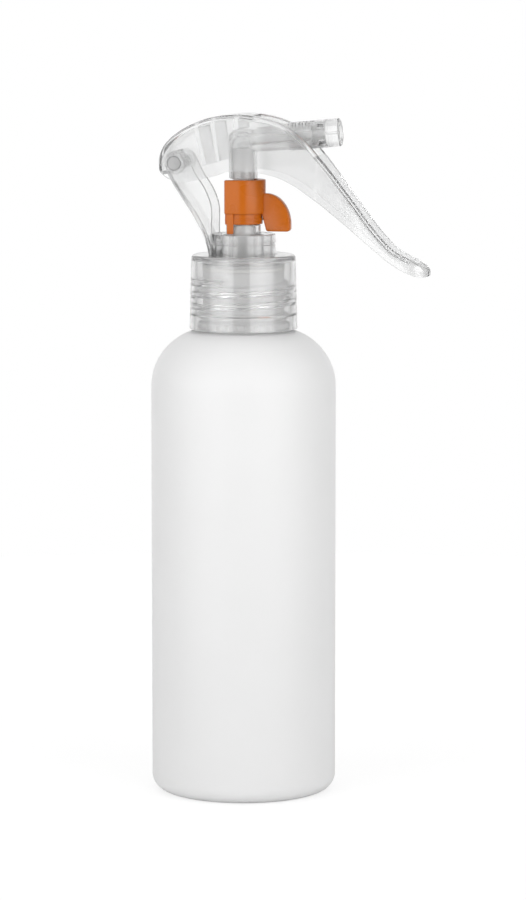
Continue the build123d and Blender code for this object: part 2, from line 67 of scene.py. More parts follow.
log = logging.getLogger("spray_bottle")


class Body(Enum):
    """The rigid bodies that the pieces ride on."""

    BOTTLE = "bottle"
    HEAD = "pump_head"
    CLOSURE = "closure"
    LEVER = "lever"
    SPOUT = "spout"
    CLIP = "clip"


class Along(Enum):
    """The way that a turned piece's axis points."""

    UP = (0.0, 0.0, 1.0)
    ACROSS = (0.0, 1.0, 0.0)


# ------------------------------------------------------------------ surfaces

def arc(centre: tuple[float, float], radius: float, start: float, end: float, steps: int) -> np.ndarray:
    """Points on a circle: centre plus radius times (cos a, sin a), a going evenly from start to end.

    Args:
        centre: the circle's centre, in the plane of the outline.
        radius: the circle's radius.
        start: first angle in degrees.
        end: last angle in degrees.
        steps: how many points.

    Returns:
        An array of shape (steps, 2).
    """
    angle = np.radians(np.linspace(start, end, steps))
    return np.stack([centre[0] + radius * np.cos(angle), centre[1] + radius * np.sin(angle)], axis=1)


def rounded(corners: list[tuple[float, float, float]], closed: bool = True, steps: int = 5) -> np.ndarray:
    """An outline with each corner rounded, and a few points along each straight run.

    Each corner is replaced by the circular arc that touches both of its runs. A run gets two points close
    to its ends, so that light stays flat along it.

    Args:
        corners: (x, y, radius) of each corner in order.
        closed: whether the last corner joins the first.
        steps: points in each arc.

    Returns:
        An array of shape (n, 2).
    """
    points = np.array([c[:2] for c in corners], float)
    count = len(corners)
    runs: list[np.ndarray] = []
    for k, (_, _, radius) in enumerate(corners):
        if radius <= 0 or (not closed and k in (0, count - 1)):
            runs.append(points[k:k + 1])
            continue
        here = points[k]
        back = points[k - 1] - here
        ahead = points[(k + 1) % count] - here
        back_len, ahead_len = np.linalg.norm(back), np.linalg.norm(ahead)
        back, ahead = back / back_len, ahead / ahead_len
        half = math.acos(float(np.clip(back @ ahead, -1, 1))) / 2
        reach = min(radius / math.tan(half), 0.45 * back_len, 0.45 * ahead_len)
        size = reach * math.tan(half)
        middle = here + (back + ahead) / np.linalg.norm(back + ahead) * size / math.sin(half)
        first, last = here + back * reach - middle, here + ahead * reach - middle
        sweep = math.acos(float(np.clip(first @ last / (size * size), -1, 1)))
        share = np.linspace(0, 1, steps)[:, None]
        turned = (np.sin((1 - share) * sweep) * first + np.sin(share * sweep) * last) / math.sin(sweep)
        runs.append(middle + turned)
    joined: list[np.ndarray] = []
    for k, run in enumerate(runs):
        joined.append(run)
        if not closed and k == count - 1:
            break
        start, end = run[-1], runs[(k + 1) % count][0]
        length = np.linalg.norm(end - start)
        if length > 0.5:
            support = min(0.12, 0.2 * length) / length
            joined.append(start + (end - start) * np.array([[support], [1 - support]]))
    return np.concatenate(joined)


def dense(points: np.ndarray, step: float) -> np.ndarray:
    """The same closed outline with no two neighbours further apart than step.

    Args:
        points: outline of shape (n, 2).
        step: the largest distance.

    Returns:
        An array of shape (m, 2).
    """
    following = np.roll(points, -1, axis=0)
    parts = np.maximum(1, np.ceil(np.linalg.norm(following - points, axis=1) / step)).astype(int)
    pieces = [a + (b - a) * (np.arange(n) / n)[:, None] for a, b, n in zip(points, following, parts)]
    return np.concatenate(pieces)


def spline(points: list[tuple[float, ...]], count: int) -> np.ndarray:
    """A smooth line through points: on each run, the cubic with the slopes of the chords around its ends.

    The line is a function of one parameter, the running distance between the points.

    Args:
        points: places to pass through, of any dimension.
        count: how many points to give.

    Returns:
        An array of shape (count, dimension), evenly spread over the parameter.
    """
    p = np.array(points, float)
    gap = np.linalg.norm(np.diff(p, axis=0), axis=1)
    at = np.concatenate([[0.0], np.cumsum(gap)])
    chord = np.diff(p, axis=0) / gap[:, None]
    inner = (chord[:-1] * gap[1:, None] + chord[1:] * gap[:-1, None]) / (gap[1:] + gap[:-1])[:, None]
    slope = np.concatenate([1.5 * chord[:1] - 0.5 * inner[:1], inner, 1.5 * chord[-1:] - 0.5 * inner[-1:]])
    u = np.linspace(0, at[-1], count)
    k = np.clip(np.searchsorted(at, u, side="right") - 1, 0, len(gap) - 1)
    h = gap[k][:, None]
    t = ((u - at[k]) / gap[k])[:, None]
    return ((2 * t**3 - 3 * t**2 + 1) * p[k] + (t**3 - 2 * t**2 + t) * h * slope[k]
            + (3 * t**2 - 2 * t**3) * p[k + 1] + (t**3 - t**2) * h * slope[k + 1])


def smooth_step(x: np.ndarray, low: float, high: float) -> np.ndarray:
    """0 before low, 1 after high, and 3t^2 - 2t^3 between them."""
    t = np.clip((x - low) / (high - low), 0, 1)
    return t * t * (3 - 2 * t)


def plateau(x: np.ndarray, start: float, full: float, last: float, end: float) -> np.ndarray:
    """1 from full to last, 0 before start and after end, with a smooth step on each side."""
    return smooth_step(x, start, full) - smooth_step(x, last, end)


def helix_ridge(angle: np.ndarray, height: np.ndarray, start: float, pitch: float, turns: float,
                root: float, crest: float) -> np.ndarray:
    """How high a helical thread stands, from 0 to 1, at each angle and height.

    The thread's centre climbs one pitch per turn. Across it the ridge is a trapezoid with soft corners:
    full within crest of its centre, nothing beyond root. It fades in and out over a twelfth of a turn at
    its ends.

    Args:
        angle: angles round the axis, in radians.
        height: heights in mm.
        start: height of the thread's centre where it begins, at angle 0.
        pitch: climb per turn.
        turns: length of the thread in turns.
        root: half width at the wall.
        crest: half width at the top.

    Returns:
        An array of the shape of angle and height broadcast together.
    """
    around = angle / (2 * math.pi)
    turn = (height - start) / pitch - around
    whole = np.clip(np.round(turn), 0, math.ceil(turns))
    off_centre = np.abs(turn - whole) * pitch
    along = around + whole
    ridge = 1 - smooth_step(off_centre, crest, root)
    fade = 0.08
    return ridge * smooth_step(along, 0.0, fade) * (1 - smooth_step(along, turns - fade, turns))


def quads(rows: int, columns: int, close_rows: bool = False, close_columns: bool = False) -> np.ndarray:
    """The four-sided faces between neighbouring points of a grid, as point numbers.

    Args:
        rows: points along the first parameter.
        columns: points along the second.
        close_rows: whether the last row joins the first.
        close_columns: whether the last column joins the first.

    Returns:
        An array of shape (face rows, face columns, 4).
    """
    i, j = np.meshgrid(np.arange(rows if close_rows else rows - 1),
                       np.arange(columns if close_columns else columns - 1), indexing="ij")
    i2, j2 = (i + 1) % rows, (j + 1) % columns
    return np.stack([i * columns + j, i * columns + j2, i2 * columns + j2, i2 * columns + j], axis=-1)


def mesh_object(name: str, points: np.ndarray, faces: list[list[int]]) -> Piece:
    """A mesh object at the origin, from points in millimetres.

    Points that meet at a pole are merged, and the faces are turned outwards.

    Args:
        name: the object's name.
        points: array of shape (..., 3), in mm.
        faces: point numbers of each face.

    Returns:
        The new object, linked to the scene.
    """
    mesh = bpy.data.meshes.new(name)
    mesh.from_pydata((points.reshape(-1, 3) * MM).tolist(), [], faces)
    work = bmesh.new()
    work.from_mesh(mesh)
    bmesh.ops.remove_doubles(work, verts=work.verts, dist=2e-7)
    bmesh.ops.recalc_face_normals(work, faces=work.faces)
    work.to_mesh(mesh)
    work.free()
    obj = bpy.data.objects.new(name, mesh)
    bpy.context.scene.collection.objects.link(obj)
    smooth(obj)
    return obj


def smooth(obj: Piece, sharp: float = SHARP) -> None:
    """Shades the mesh smooth except across edges that turn more than sharp degrees.

    Args:
        obj: the object.
        sharp: the angle above which an edge stays crisp.
    """
    obj.data.polygons.foreach_set("use_smooth", np.ones(len(obj.data.polygons), bool))
    obj.data.set_sharp_from_angle(angle=math.radians(sharp))
    obj.data.update()


def settle(obj: Piece, sharp: float = SHARP) -> Piece:
    """Makes the object's modifiers part of its mesh.

    Args:
        obj: the object.
        sharp: edges that turn more than this many degrees stay crisp.

    Returns:
        The same object.
    """
    bpy.context.view_layer.update()
    done = bpy.data.meshes.new_from_object(obj.evaluated_get(bpy.context.evaluated_depsgraph_get()))
    obj.modifiers.clear()
    obj.data = done
    smooth(obj, sharp)
    return obj


def combine(base: Piece, others: list[Piece], how: str, sharp: float = SHARP) -> Piece:
    """Joins other closed shapes to a closed shape, or cuts them out of it, and removes them.

    Args:
        base: the shape that stays.
        others: the shapes to use up.
        how: UNION or DIFFERENCE.
        sharp: edges that turn more than this many degrees stay crisp.

    Returns:
        base.
    """
    for other in others:
        cut = base.modifiers.new(how.lower(), "BOOLEAN")
        cut.operation = how
        cut.solver = "EXACT"
        cut.object = other
    settle(base, sharp)
    for other in others:
        bpy.data.objects.remove(other)
    return base


def turned(name: str, outline: np.ndarray, columns: int, closed: bool = True, centre: Point = (0, 0, 0),
           along: Vector | Along = Along.UP, swell: np.ndarray | None = None) -> Piece:
    """A lathe shape: each outline point (r, h) goes round the axis as r times (cos a, sin a) at height h.

    Args:
        name: the object's name.
        outline: (radius, height) points, in mm.
        columns: how many angles.
        closed: whether the outline is a ring; otherwise it starts and ends on the axis.
        centre: where height 0 of the axis is, in mm.
        along: the axis's direction.
        swell: added to the radius, of shape (outline points, columns).

    Returns:
        The new object.
    """
    angle = np.arange(columns) * 2 * math.pi / columns
    radius = np.repeat(outline[:, :1], columns, axis=1) + (0 if swell is None else swell)
    height = np.repeat(outline[:, 1:], columns, axis=1)
    points = np.stack([radius * np.cos(angle), radius * np.sin(angle), height], axis=-1)
    axis = along if isinstance(along, Vector) else Vector(along.value)
    turn = np.array(Vector((0, 0, 1)).rotation_difference(axis).to_matrix())
    points = points @ turn.T + np.array(centre, float)
    faces = quads(len(outline), columns, close_rows=closed, close_columns=True).reshape(-1, 4)
    return mesh_object(name, points, faces.tolist())


def across_at(name: str, outline: np.ndarray, pivot: tuple[float, float]) -> Piece:
    """A round shape turned about the lever's pivot axis, from (radius, y) points in mm."""
    return turned(name, outline, 64, closed=False, centre=(pivot[0], 0, pivot[1]), along=Along.ACROSS)


def drill(radius: float, pivot: tuple[float, float]) -> Piece:
    """A cylinder on the pivot axis that is longer than any piece is wide, to cut a hole with."""
    return across_at("hole", np.array([(0, -12), (radius, -12), (radius, 12), (0, 12)], float), pivot)


def capped(name: str, points: np.ndarray) -> Piece:
    """A closed body whose rows of points are rings, with one face across each end.

    Args:
        name: the object's name.
        points: array of shape (rings, points in a ring, 3), in mm.

    Returns:
        The new object.
    """
    rows, columns = points.shape[:2]
    faces = quads(rows, columns, close_columns=True).reshape(-1, 4).tolist()
    faces += [list(range(columns)), list(range((rows - 1) * columns, rows * columns))]
    return mesh_object(name, points, faces)


def slab(name: str, points: np.ndarray, bevel: float) -> Piece:
    """A closed body between two copies of an outline, its rims softened.

    Args:
        name: the object's name.
        points: array of shape (outline points, 2, 3), in mm.
        bevel: how far each rim is rounded, in mm.

    Returns:
        The new object.
    """
    count = len(points)
    faces = quads(count, 2, close_rows=True).reshape(-1, 4).tolist()
    faces += [list(range(0, 2 * count, 2)), list(range(1, 2 * count, 2))]
    obj = mesh_object(name, points, faces)
    if bevel > 0:
        soften(obj, bevel)
        settle(obj)
    return obj


def prism(name: str, outline: np.ndarray, half_y: float, bevel: float = 0.0, middle_y: float = 0.0) -> Piece:
    """An outline in the XZ plane, carried across from middle_y - half_y to middle_y + half_y.

    Args:
        name: the object's name.
        outline: (x, z) points in mm, in order round the shape.
        half_y: half of the width in mm.
        bevel: how far each rim is rounded, in mm.
        middle_y: where the middle lies.

    Returns:
        The new object.
    """
    across = np.broadcast_to(np.array([-half_y, half_y]) + middle_y, (len(outline), 2))
    x, z = np.repeat(outline[:, :1], 2, axis=1), np.repeat(outline[:, 1:], 2, axis=1)
    return slab(name, np.stack([x, across, z], axis=-1), bevel)


def soften(obj: Piece, width: float) -> None:
    """Adds a bevel of that width in mm to the edges that turn more than RIM_ANGLE degrees.

    Args:
        obj: the object.
        width: how far each edge is rounded, in mm.
    """
    bevel = obj.modifiers.new("rounded_edges", "BEVEL")
    bevel.width = width * MM
    bevel.segments = RIM_STEPS
    bevel.limit_method = "ANGLE"
    bevel.angle_limit = math.radians(RIM_ANGLE)
    bevel.harden_normals = False


# ------------------------------------------------------------------ finishes

def put(node: bpy.types.Node, values: dict[str | int, float | tuple[float, ...]]) -> bpy.types.Node:
    """Sets inputs of a node, by name or number, and gives the node back."""
    for name, value in values.items():
        node.inputs[name].default_value = value
    return node


def moulded_surface_group() -> bpy.types.NodeTree:
    """The effect of a plastic mould: soft waves where the wall sank, a fine grain and sparse scuffs.

    Returns:
        A group with inputs Wave Scale, Grain Scale, Base Roughness and Scuffs, and outputs Height,
        Roughness and Cloud, a slow mask from 0 to 1.
    """
    tree = bpy.data.node_groups.new(MOULDING_GROUP, "ShaderNodeTree")
    socket = tree.interface.new_socket
    defaults = {"Wave Scale": 60.0, "Grain Scale": 2500.0, "Base Roughness": 0.1, "Scuffs": 0.1}
    for name, value in defaults.items():
        socket(name=name, in_out="INPUT", socket_type="NodeSocketFloat").default_value = value
    for name in ("Height", "Roughness", "Cloud"):
        socket(name=name, in_out="OUTPUT", socket_type="NodeSocketFloat")
    add, link = tree.nodes.new, tree.links.new
    given, given_out = add("NodeGroupInput"), add("NodeGroupOutput")
    place = add("ShaderNodeTexCoord")
    waves = put(add("ShaderNodeTexNoise"), {"Detail": 2.0})
    grain = put(add("ShaderNodeTexNoise"), {"Detail": 3.0})
    scuffs = put(add("ShaderNodeTexNoise"), {"Detail": 6.0, "Scale": 900.0, "Distortion": 2.5})
    for noise in (waves, grain, scuffs):
        link(place.outputs["Object"], noise.inputs["Vector"])
    link(given.outputs["Wave Scale"], waves.inputs["Scale"])
    link(given.outputs["Grain Scale"], grain.inputs["Scale"])
    fine, worn, height, first, second = (add("ShaderNodeMath") for _ in range(5))
    fine.operation = "MULTIPLY"
    put(fine, {1: 0.12})
    link(grain.outputs["Fac"], fine.inputs[0])
    link(waves.outputs["Fac"], height.inputs[0])
    link(fine.outputs[0], height.inputs[1])
    link(height.outputs[0], given_out.inputs["Height"])
    marks = put(add("ShaderNodeMapRange"), {"From Min": 0.62, "From Max": 0.78})
    link(scuffs.outputs["Fac"], marks.inputs["Value"])
    worn.operation = "MULTIPLY"
    link(marks.outputs["Result"], worn.inputs[0])
    link(given.outputs["Scuffs"], worn.inputs[1])
    varied = put(add("ShaderNodeMapRange"), {"To Min": -0.03, "To Max": 0.05})
    link(waves.outputs["Fac"], varied.inputs["Value"])
    link(given.outputs["Base Roughness"], first.inputs[0])
    link(varied.outputs["Result"], first.inputs[1])
    link(first.outputs[0], second.inputs[0])
    link(worn.outputs[0], second.inputs[1])
    link(second.outputs[0], given_out.inputs["Roughness"])
    link(waves.outputs["Fac"], given_out.inputs["Cloud"])
    return tree


@dataclass(frozen=True)
class Plastic:
    """A moulded plastic: two nearby colours that cloud into each other, over the mould's waves and grain."""

    name: str
    colour: tuple[float, float, float]
    second: tuple[float, float, float]
    roughness: float
    waves: float = 60.0
    grain: float = 2500.0
    bump: float = 0.15
    scuffs: float = 0.08
    transmission: float = 0.0
    ior: float = 1.49
    subsurface: float = 0.0
    metallic: float = 0.0
    specular: float = 0.5

    def build(self) -> bpy.types.Material:
        """The material, made of nodes.

        Returns:
            The material.
        """
        material = bpy.data.materials.new(self.name)
        material.use_nodes = True
        nodes, link = material.node_tree.nodes, material.node_tree.links.new
        shader = put(nodes["Principled BSDF"], {
            "IOR": self.ior, "Metallic": self.metallic, "Specular IOR Level": self.specular,
            "Transmission Weight": self.transmission, "Subsurface Weight": self.subsurface,
            "Subsurface Radius": (0.004, 0.004, 0.004), "Subsurface Scale": 1.0})
        surface = nodes.new("ShaderNodeGroup")
        surface.node_tree = bpy.data.node_groups.get(MOULDING_GROUP) or moulded_surface_group()
        put(surface, {"Wave Scale": self.waves, "Grain Scale": self.grain, "Base Roughness": self.roughness,
                      "Scuffs": self.scuffs})
        tint = nodes.new("ShaderNodeMix")
        tint.data_type = "RGBA"
        put(tint, {"A": (*self.colour, 1), "B": (*self.second, 1)})
        bump = put(nodes.new("ShaderNodeBump"), {"Strength": self.bump, "Distance": 0.0002})
        link(surface.outputs["Cloud"], tint.inputs["Factor"])
        link(tint.outputs["Result"], shader.inputs["Base Color"])
        link(surface.outputs["Roughness"], shader.inputs["Roughness"])
        link(surface.outputs["Height"], bump.inputs["Height"])
        link(bump.outputs["Normal"], shader.inputs["Normal"])
        return material


FINISHES: dict[str, Plastic] = {
    "white_satin_pe": Plastic("white_satin_polyethylene", (0.80, 0.80, 0.80), (0.84, 0.84, 0.84), 0.42,
                              waves=35.0, grain=1800.0, bump=0.10, scuffs=0.06, subsurface=0.25),
    "clear_pp": Plastic("clear_polypropylene", (0.945, 0.95, 0.95), (0.965, 0.965, 0.965), 0.07,
                        waves=140.0, bump=0.06, scuffs=0.10, transmission=0.90),
    # Lighter copy of the clear plastic, part diffuse white: painted light that brightens the closure and the
    # shaded neck seen through it.
    "clear_closure_painted_light": Plastic("clear_closure_painted_light_polypropylene", (0.985, 0.985, 0.985), (0.995, 0.995, 0.995),
                             0.02, waves=140.0, bump=0.04, scuffs=0.08, transmission=0.86, ior=1.52,
                             specular=1.0),
    "clear_lever": Plastic("clear_lever_polypropylene", (0.90, 0.905, 0.905), (0.93, 0.93, 0.93), 0.06,
                           waves=140.0, bump=0.06, scuffs=0.10, transmission=0.90, ior=1.55, specular=0.7),
    "clear_spout": Plastic("clear_spout_polypropylene", (0.985, 0.985, 0.985), (0.995, 0.995, 0.995), 0.05,
                           waves=140.0, bump=0.05, scuffs=0.08, transmission=0.84, ior=1.42),
    "smoky_pin": Plastic("smoky_polypropylene", (0.50, 0.50, 0.50), (0.58, 0.58, 0.58), 0.18,
                         waves=300.0, bump=0.08, transmission=0.4),
    # Lighter copy of the natural polyethylene: partly the stem's own milky tone, partly painted light that
    # lifts the stem out of the shade inside the socket and under the clip.
    "milky_stem_painted_light": Plastic("milky_stem_painted_light_polypropylene", (0.93, 0.935, 0.93), (0.96, 0.96, 0.955), 0.22,
                          waves=160.0, bump=0.06, subsurface=0.3),
    "orange_pp": Plastic("orange_polypropylene", (0.455, 0.104, 0.002), (0.52, 0.125, 0.004), 0.27,
                         waves=180.0, bump=0.10, scuffs=0.08, specular=0.35),
    "natural_pe": Plastic("natural_polyethylene", (0.88, 0.89, 0.88), (0.93, 0.93, 0.92), 0.30,
                          waves=120.0, bump=0.12, transmission=0.35),
    "seal_foam": Plastic("foamed_washer", (0.74, 0.74, 0.71), (0.84, 0.84, 0.82), 0.72,
                         waves=900.0, grain=6000.0, bump=0.5, scuffs=0.02),
    "soft_seal": Plastic("soft_seal", (0.10, 0.10, 0.11), (0.16, 0.16, 0.17), 0.55,
                         waves=300.0, bump=0.2),
    "stainless_wire": Plastic("drawn_stainless_wire", (0.52, 0.52, 0.51), (0.64, 0.64, 0.62), 0.28,
                              waves=700.0, grain=9000.0, bump=0.2, metallic=1.0),
    "stainless_ball": Plastic("polished_stainless_ball", (0.66, 0.66, 0.66), (0.72, 0.72, 0.71), 0.10,
                              waves=300.0, bump=0.03, metallic=1.0),
}
MATERIALS: dict[str, bpy.types.Material] = {}
REPLACED: set[str] = set()


def dress(obj: Piece, slot: str, body: Body | None = None, *nodes: str,
          finish: str | None = None) -> Piece:
    """Gives a piece its finish, and for a new piece its body and the CAD nodes that it stands for.

    Args:
        obj: the piece.
        slot: the record's material slot.
        body: the body that a new piece rides on.
        nodes: CAD nodes that it replaces.
        finish: the finish's name where it isn't the slot's own.

    Returns:
        The piece.
    """
    name = finish or slot
    if name not in MATERIALS:
        MATERIALS[name] = FINISHES[name].build()
    if obj.data.materials:
        for k in range(len(obj.data.materials)):
            obj.data.materials[k] = MATERIALS[name]
    else:
        obj.data.materials.append(MATERIALS[name])
    if body is not None:
        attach(obj, body.value)
        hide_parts(*nodes)
        REPLACED.update(nodes)
    return obj


def corner(node: str) -> tuple[np.ndarray, np.ndarray]:
    """Lowest and highest corner of a CAD node, in mm."""
    low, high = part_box(node)
    return np.array(low) / MM, np.array(high) / MM


def lowest(node: str, axis: int) -> float:
    """Where a CAD node begins along an axis, in mm."""
    return float(corner(node)[0][axis])


def highest(node: str, axis: int) -> float:
    """Where a CAD node ends along an axis, in mm."""
    return float(corner(node)[1][axis])


# ------------------------------------------------------------------ bottle and closure

@dataclass
class Bottle:
    """The blow-moulded bottle with its threaded neck."""

    radius: float
    lip: float
    wall: float = 1.0
    base_corner: float = 4.3
    ring: float = 15.0
    push_up: float = 2.2
    shoulder: float = 108.4
    shoulder_radius: float = 15.5
    neck: float = 10.75
    bore: float = 9.0
    pitch: float = 3.175
    thread_height: float = 1.2
    thread_start: float = 132.5
    thread_turns: float = 1.5
    thread_root: float = 1.05
    thread_crest: float = 0.35
    bead: tuple[float, float, float, float] = (126.3, 126.7, 127.9, 128.4)
    bead_height: float = 1.15
    collar: tuple[float, float, float, float] = (123.0, 123.5, 125.4, 126.0)
    collar_height: float = 0.85
    teeth: int = 30
    tooth_rise: float = 0.72
    tooth_height: float = 0.8
    columns: int = 240

    def outline(self) -> np.ndarray:
        """The wall's section as (radius, height): base, side, shoulder and neck, then back down the inside.

        The base is a shallow sphere, the corners and the shoulder are arcs, and the rest is straight.

        Returns:
            An array of shape (n, 2), in mm.
        """
        inner_shoulder = self.radius - self.shoulder_radius
        dome = (self.ring**2 + self.push_up**2) / (2 * self.push_up)
        reach = np.linspace(0, self.ring, 18)
        base = np.stack([reach, self.push_up - dome + np.sqrt(dome**2 - reach**2)], axis=1)
        flat = self.radius - self.base_corner
        low_corner = arc((flat, self.base_corner), self.base_corner, -90, 0, 14)
        root_angle = math.degrees(math.acos((self.neck - inner_shoulder) / self.shoulder_radius))
        shoulder = arc((inner_shoulder, self.shoulder), self.shoulder_radius, 0, root_angle - 2.0, 30)
        up = np.linspace(self.base_corner, self.shoulder, 22)[1:-1]
        side = np.stack([np.full(20, self.radius), up], axis=1)
        root_z = shoulder[-1, 1]
        neck = np.stack([np.full(118, self.neck), np.linspace(root_z + 0.5, self.lip - 0.35, 118)], axis=1)
        lip = rounded([(self.neck, self.lip - 0.3, 0), (self.neck, self.lip, 0.3), (self.bore, self.lip, 0.3),
                       (self.bore, self.lip - 0.3, 0)], closed=False)
        outside = np.concatenate([base, low_corner, side, shoulder, neck, lip])
        thin = self.shoulder_radius - self.wall
        inside = np.concatenate([
            [[self.bore, self.shoulder + thin + 0.5]],
            arc((inner_shoulder, self.shoulder), thin, 88, 0, 18),
            arc((flat, self.base_corner), self.base_corner - self.wall, 0, -90, 8),
            base[::-1] + [0, self.wall]])
        return np.concatenate([outside, inside])

    def swell(self, outline: np.ndarray) -> np.ndarray:
        """What stands out of the neck: thread, bead and ratchet teeth, as functions of angle and height.

        The thread is a helical ridge. The bead is a smooth hump at one height. The teeth are a saw wave
        round the neck's root, one tooth for each part of the turn.

        Args:
            outline: the wall's section.

        Returns:
            What to add to the radius, of shape (outline points, columns).
        """
        angle = (np.arange(self.columns) * 2 * math.pi / self.columns)[None, :]
        radius, height = outline[:, :1], outline[:, 1:]
        on_neck = (np.abs(radius - self.neck) < 0.02) & (height > self.shoulder + 14)
        ridge = helix_ridge(angle, height, self.thread_start, self.pitch, self.thread_turns,
                            self.thread_root, self.thread_crest)
        thread = self.thread_height * ridge
        bead = self.bead_height * plateau(height, *self.bead)
        saw = (angle * self.teeth / (2 * math.pi)) % 1.0
        tooth = np.clip(np.minimum(saw / self.tooth_rise, (1 - saw) / (1 - self.tooth_rise)), 0, 1)
        teeth = plateau(height, *self.collar) * (self.collar_height + self.tooth_height * tooth)
        return on_neck * (thread + bead + teeth)

    def build(self) -> Piece:
        """The bottle as one turned wall.

        Returns:
            The bottle.
        """
        outline = self.outline()
        obj = turned("bottle_moulding", outline, self.columns, closed=False, swell=self.swell(outline))
        return dress(obj, "white_satin_pe", Body.BOTTLE, "bottle")


@dataclass
class Closure:
    """The clear screw closure."""

    bottom: float
    low: float
    top: float
    top_radius: float = 13.8
    inner: float = 12.45
    relief: float = 12.95
    relief_height: float = 3.7
    roof: float = 1.4
    hole: float = 8.9
    pitch: float = 3.175
    thread_start: float = 129.6725
    thread_turns: float = 2.25
    thread_height: float = 1.2
    thread_root: float = 0.85
    thread_crest: float = 0.25
    columns: int = 192

    def build(self) -> Piece:
        """A turned shell whose inside carries a helical ridge.

        Returns:
            The closure.
        """
        roof, relief = self.top - self.roof, self.low + self.relief_height
        outline = dense(rounded([
            (self.bottom, self.low, 0.25), (self.bottom - 0.03, self.low + 0.9, 0.0),
            (self.top_radius, self.top, 0.9),
            (self.hole, self.top, 0.25), (self.hole, roof, 0.1), (self.inner, roof, 0.3),
            (self.inner, relief + 0.5, 0.2), (self.relief, relief, 0.2), (self.relief, self.low, 0.2)]), 0.3)
        angle = (np.arange(self.columns) * 2 * math.pi / self.columns)[None, :]
        inside = np.abs(outline[:, :1] - self.inner) < 0.02
        from_start = (angle - math.pi) % (2 * math.pi)
        ridge = helix_ridge(from_start, outline[:, 1:], self.thread_start, self.pitch, self.thread_turns,
                            self.thread_root, self.thread_crest)
        obj = turned("closure_shell", outline, self.columns, swell=-self.thread_height * inside * ridge)
        # The finish is a lighter copy of the clear plastic: painted light on the closure and on the neck
        # behind it.
        return dress(obj, "clear_pp", Body.CLOSURE, "screw_closure", finish="clear_closure_painted_light")


# ------------------------------------------------------------------ head

@dataclass
class Bracket:
    """The clear bracket: flange, turret and the arm that holds the pivot."""

    pivot: tuple[float, float]
    flange: float
    flange_low: float
    turret: float = 8.5
    bore: float = 7.3
    top: float = 149.0
    arm_half: float = 5.0
    wall: float = 1.2
    end_radius: float = 3.3
    boss_radius: float = 2.8
    boss_half: float = 6.2
    pin: float = 1.87
    pin_gap: float = 0.02
    corner_share: float = 0.12
    groove_low: float = 146.2
    groove_top: float = 146.7
    groove_depth: float = 0.25
    rows: int = 90

    def arm(self) -> Piece:
        """The arm, a channel that is open towards the stem.

        The grid's first parameter runs up the arm, between a rear line and a front line that end as arcs
        round the pivot. The second runs from the front edge of one side wall over the back to the other.

        Returns:
            The arm, with its wall.
        """
        rear_arc = [tuple(p) for p in arc(self.pivot, self.end_radius, 205, 100, 5)]
        front_arc = [tuple(p) for p in arc(self.pivot, self.end_radius, 20, 82, 5)]
        rear = spline([(-8.1, 142.6), (-9.5, 147.8), (-12.3, 153.2), (-16.0, 158.8), (-18.6, 162.9),
                       *rear_arc], self.rows)
        front = spline([(-7.55, 142.6), (-7.6, 150.0), (-7.85, 157.0), (-9.3, 160.7), (-11.3, 163.9),
                        *front_arc], self.rows)
        side = np.linspace(1, self.corner_share, 7)
        bend = np.linspace(0, math.pi / 2, 6)[1:-1]
        depth = np.concatenate([side, self.corner_share * (1 - np.sin(bend)), [0.0]])
        tuck = np.concatenate([np.zeros(7), 1.0 - np.cos(bend), [1.0]])
        back = np.linspace(-1, 1, 9)[1:-1] * (self.arm_half - 1.0)
        share = np.concatenate([depth, np.zeros(7), depth[::-1]])
        across = np.concatenate([tuck - self.arm_half, back, (self.arm_half - tuck)[::-1]])
        line = rear[:, None, :] + (front - rear)[:, None, :] * share[None, :, None]
        points = np.stack([line[..., 0], np.broadcast_to(across, line.shape[:2]), line[..., 1]], axis=-1)
        obj = mesh_object("arm", points, quads(self.rows, len(share)).reshape(-1, 4).tolist())
        wall = obj.modifiers.new("wall", "SOLIDIFY")
        wall.thickness = self.wall * MM
        wall.offset = -1.0 if self.faces_out(obj) else 1.0
        wall.use_even_offset = True
        return settle(obj)

    @staticmethod
    def faces_out(obj: Piece) -> bool:
        """Whether most of an open channel's faces point away from its middle.

        Args:
            obj: the channel.

        Returns:
            True if they point away.
        """
        points = np.array([f.center[:] for f in obj.data.polygons])
        normals = np.array([f.normal[:] for f in obj.data.polygons])
        return float(np.sum(points[:, 1] * normals[:, 1])) > 0

    def build(self) -> Piece:
        """Turret, flange, arm and boss joined into one moulding, with the pin's hole through it.

        Returns:
            The bracket.
        """
        low, flange_top = self.flange_low, self.flange_low + 1.0
        turret = turned("bracket_moulding", rounded([
            (self.flange, low, 0.15), (self.flange, flange_top, 0.15), (self.turret, flange_top, 0.2),
            (self.turret, self.groove_low, 0.1), (self.turret - self.groove_depth, self.groove_low + 0.05,
            0.05), (self.turret - self.groove_depth, self.groove_top - 0.05, 0.05), (self.turret,
            self.groove_top, 0.1), (self.turret, self.top, 0.35), (self.bore, self.top, 0.2), (self.bore,
            low, 0.15)]), 160)
        boss = across_at("boss", rounded([
            (0, -self.boss_half, 0), (self.boss_radius, -self.boss_half, 0.2),
            (self.boss_radius, self.boss_half, 0.2), (0, self.boss_half, 0)], closed=False), self.pivot)
        core = turned("core", np.array([(0, 139), (self.bore, 139), (self.bore, 157), (0, 157)], float), 160,
                      closed=False)
        arm = combine(self.arm(), [core], "DIFFERENCE")
        obj = combine(turret, [arm, boss], "UNION")
        combine(obj, [drill(self.pin, self.pivot)], "DIFFERENCE")
        return dress(obj, "clear_pp", Body.HEAD, "pump_bracket")

    def build_pin(self) -> Piece:
        """The pivot pin, its ends domed.

        Returns:
            The pin.
        """
        radius, half = self.pin - self.pin_gap, highest("pivot_pin", Y)
        obj = across_at("pivot_pin_turned", rounded([
            (0, -half, 0), (radius, -half + 0.12, 0.25), (radius, half - 0.12, 0.25), (0, half, 0)],
            closed=False), self.pivot)
        return dress(obj, "clear_pp", Body.HEAD, "pivot_pin", finish="smoky_pin")


